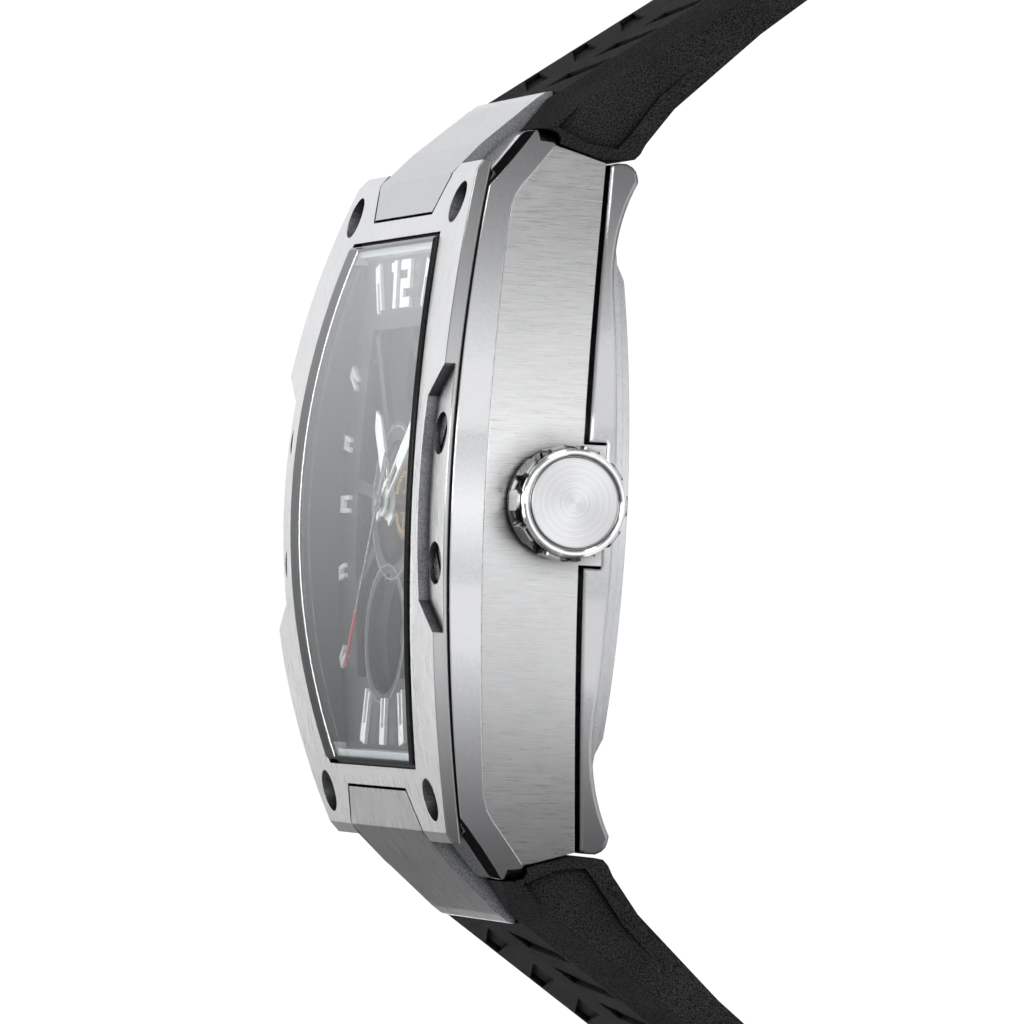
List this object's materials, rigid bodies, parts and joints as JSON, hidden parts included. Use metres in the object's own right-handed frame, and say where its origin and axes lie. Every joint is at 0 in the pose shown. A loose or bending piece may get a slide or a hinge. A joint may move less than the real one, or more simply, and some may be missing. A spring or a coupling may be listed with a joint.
{
  "type": "skeleton wristwatch",
  "caption": "Barrel-shaped open-worked self-winding wristwatch with a fluted crown and a rubber pin-buckle strap, standing unbuckled.",
  "frame": {"origin": "centre of the case back's outer face, on the axis of the hands", "axes": "+Z out of the dial, +Y towards 12 o'clock, +X towards 3 o'clock and the crown"},
  "size_m": [0.0436, 0.0922, 0.0685],
  "materials": {
    "brushed_steel": "long brushed grain, satin",
    "polished_steel": "mirror polished",
    "sapphire": "clear, polished",
    "black_rubber": "fine matt grain",
    "dark_screws": "turned, satin",
    "grey_flange": "fine blasted",
    "black_dial": "satin black",
    "white_lacquer": "satin white",
    "red_tipped_steel": "polished, end lacquered red",
    "black_plate": "black plated, fine grain",
    "bright_steel": "fine turned",
    "gilt_brass": "satin gilt",
    "blued_steel": "heat blued",
    "ruby": "polished",
    "dark_tungsten": "dark plated, striped"
  },
  "bodies": {
    "case": {"mid_case": "brushed_steel", "front_frame": "polished_steel", "rear_frame": "polished_steel", "bezel": "brushed_steel", "bezel_gasket": "black_rubber", "crystal": "sapphire", "crystal_gasket": "black_rubber", "bezel_screws": "dark_screws", "hood_top": "brushed_steel", "hood_bottom": "brushed_steel", "hood_screws": "dark_screws", "flange": "grey_flange", "dial": "black_dial", "dial_indices": "white_lacquer", "mainplate": "black_plate", "movement_ring": "grey_flange", "barrel_bridge": "black_plate", "train_bridge": "black_plate", "balance_cock": "black_plate", "pallet_bridge": "bright_steel", "hairspring": "blued_steel", "jewels": "ruby", "movement_screws": "blued_steel", "crown_tube": "polished_steel", "rotor_bearing": "bright_steel", "caseback": "brushed_steel", "caseback_crystal": "sapphire", "caseback_gasket": "black_rubber", "caseback_screws": "dark_screws", "strap_top": "black_rubber", "strap_bottom": "black_rubber", "strap_bars": "polished_steel", "loop_fixed": "black_rubber", "buckle_bar": "polished_steel"},
    "seconds": {"fourth_wheel": "gilt_brass", "seconds_hand": "red_tipped_steel"},
    "minutes": {"cannon_pinion": "bright_steel", "minute_hand": "white_lacquer"},
    "hours": {"hour_wheel": "gilt_brass", "hour_hand": "white_lacquer"},
    "third": {"third_wheel": "gilt_brass"},
    "second": {"second_wheel": "gilt_brass"},
    "barrel": {"barrel": "gilt_brass", "mainspring": "blued_steel"},
    "ratchet": {"ratchet_wheel": "bright_steel"},
    "escape": {"escape_wheel": "bright_steel"},
    "pallets": {"pallet_fork": "bright_steel"},
    "balance": {"balance_wheel": "gilt_brass"},
    "motion": {"minute_wheel": "gilt_brass"},
    "crown_gear": {"crown_wheel": "bright_steel"},
    "winding": {"winding_pinion": "bright_steel"},
    "crown": {"crown": "polished_steel", "winding_stem": "bright_steel", "crown_gasket": "black_rubber"},
    "rotor": {"rotor": "dark_tungsten"},
    "buckle": {"buckle_frame": "polished_steel"},
    "tang": {"buckle_tang": "polished_steel"},
    "loop": {"loop_sliding": "black_rubber"}
  },
  "joints": [
    {"name": "seconds_spin", "type": "hinge", "parent": "case", "child": "seconds", "pos_m": [0, 0, 0.00563], "axis": [0, 0, 1], "continuous": true},
    {"name": "third_spin", "type": "hinge", "parent": "case", "child": "third", "pos_m": [-0.0037, 0.00056, 0.00563], "axis": [0, 0, 1], "continuous": true},
    {"name": "second_spin", "type": "hinge", "parent": "case", "child": "second", "pos_m": [-0.0025, 0.00433, 0.00563], "axis": [0, 0, 1], "continuous": true},
    {"name": "barrel_spin", "type": "hinge", "parent": "case", "child": "barrel", "pos_m": [0.00141, 0.009, 0.00563], "axis": [0, 0, 1], "continuous": true},
    {"name": "escape_spin", "type": "hinge", "parent": "case", "child": "escape", "pos_m": [-0.00119, -0.00326, 0.00563], "axis": [0, 0, 1], "continuous": true},
    {"name": "motion_spin", "type": "hinge", "parent": "case", "child": "motion", "pos_m": [0.00019, 0.00299, 0.00563], "axis": [0, 0, 1], "continuous": true},
    {"name": "minutes_spin", "type": "hinge", "parent": "case", "child": "minutes", "pos_m": [0, 0, 0.00563], "axis": [0, 0, 1], "continuous": true},
    {"name": "hours_spin", "type": "hinge", "parent": "case", "child": "hours", "pos_m": [0, 0, 0.00563], "axis": [0, 0, 1], "continuous": true},
    {"name": "pallet_swing", "type": "hinge", "parent": "case", "child": "pallets", "pos_m": [-0.0011, -0.00588, 0.00563], "axis": [0, 0, 1], "range_deg": [-4, 4]},
    {"name": "balance_swing", "type": "hinge", "parent": "case", "child": "balance", "pos_m": [-0.001, -0.009, 0.00563], "axis": [0, 0, 1], "range_deg": [-135, 135], "stiffness_Nm_per_rad": 0.0000012},
    {"name": "ratchet_spin", "type": "hinge", "parent": "case", "child": "ratchet", "pos_m": [0.00141, 0.009, 0.00465], "axis": [0, 0, 1], "continuous": true},
    {"name": "crown_gear_spin", "type": "hinge", "parent": "case", "child": "crown_gear", "pos_m": [0.00785, 0.0036, 0.00465], "axis": [0, 0, 1], "continuous": true},
    {"name": "winding_spin", "type": "hinge", "parent": "case", "child": "winding", "pos_m": [0.00785, 0, 0.0065], "axis": [1, 0, 0], "continuous": true},
    {"name": "crown_pull", "type": "slide", "parent": "winding", "child": "crown", "axis": [1, 0, 0], "range_m": [0, 0.0014]},
    {"name": "rotor_spin", "type": "hinge", "parent": "case", "child": "rotor", "pos_m": [0, 0, 0.003], "axis": [0, 0, 1], "continuous": true},
    {"name": "buckle_hinge", "type": "hinge", "parent": "case", "child": "buckle", "pos_m": [0, 0.01892, -0.05151], "axis": [-1, 0, 0], "range_deg": [0, 80]},
    {"name": "tang_hinge", "type": "hinge", "parent": "buckle", "child": "tang", "pos_m": [0, 0.01892, -0.05151], "axis": [-1, 0, 0], "range_deg": [0, 40]},
    {"name": "loop_slide", "type": "hinge", "parent": "case", "child": "loop", "pos_m": [0, 0.02152, -0.02851], "axis": [1, 0, 0], "range_deg": [0, 40]}
  ],
  "couplings": [
    {"joint": "third_spin", "follows": "seconds_spin", "ratio": -0.13333},
    {"joint": "second_spin", "follows": "seconds_spin", "ratio": 0.016667},
    {"joint": "barrel_spin", "follows": "seconds_spin", "ratio": -0.0027778},
    {"joint": "escape_spin", "follows": "seconds_spin", "ratio": -10},
    {"joint": "motion_spin", "follows": "seconds_spin", "ratio": -0.0055556},
    {"joint": "minutes_spin", "follows": "seconds_spin", "ratio": 0.016667},
    {"joint": "hours_spin", "follows": "seconds_spin", "ratio": 0.0013889},
    {"joint": "ratchet_spin", "follows": "winding_spin", "ratio": 0.25},
    {"joint": "crown_gear_spin", "follows": "winding_spin", "ratio": -0.33333}
  ]
}
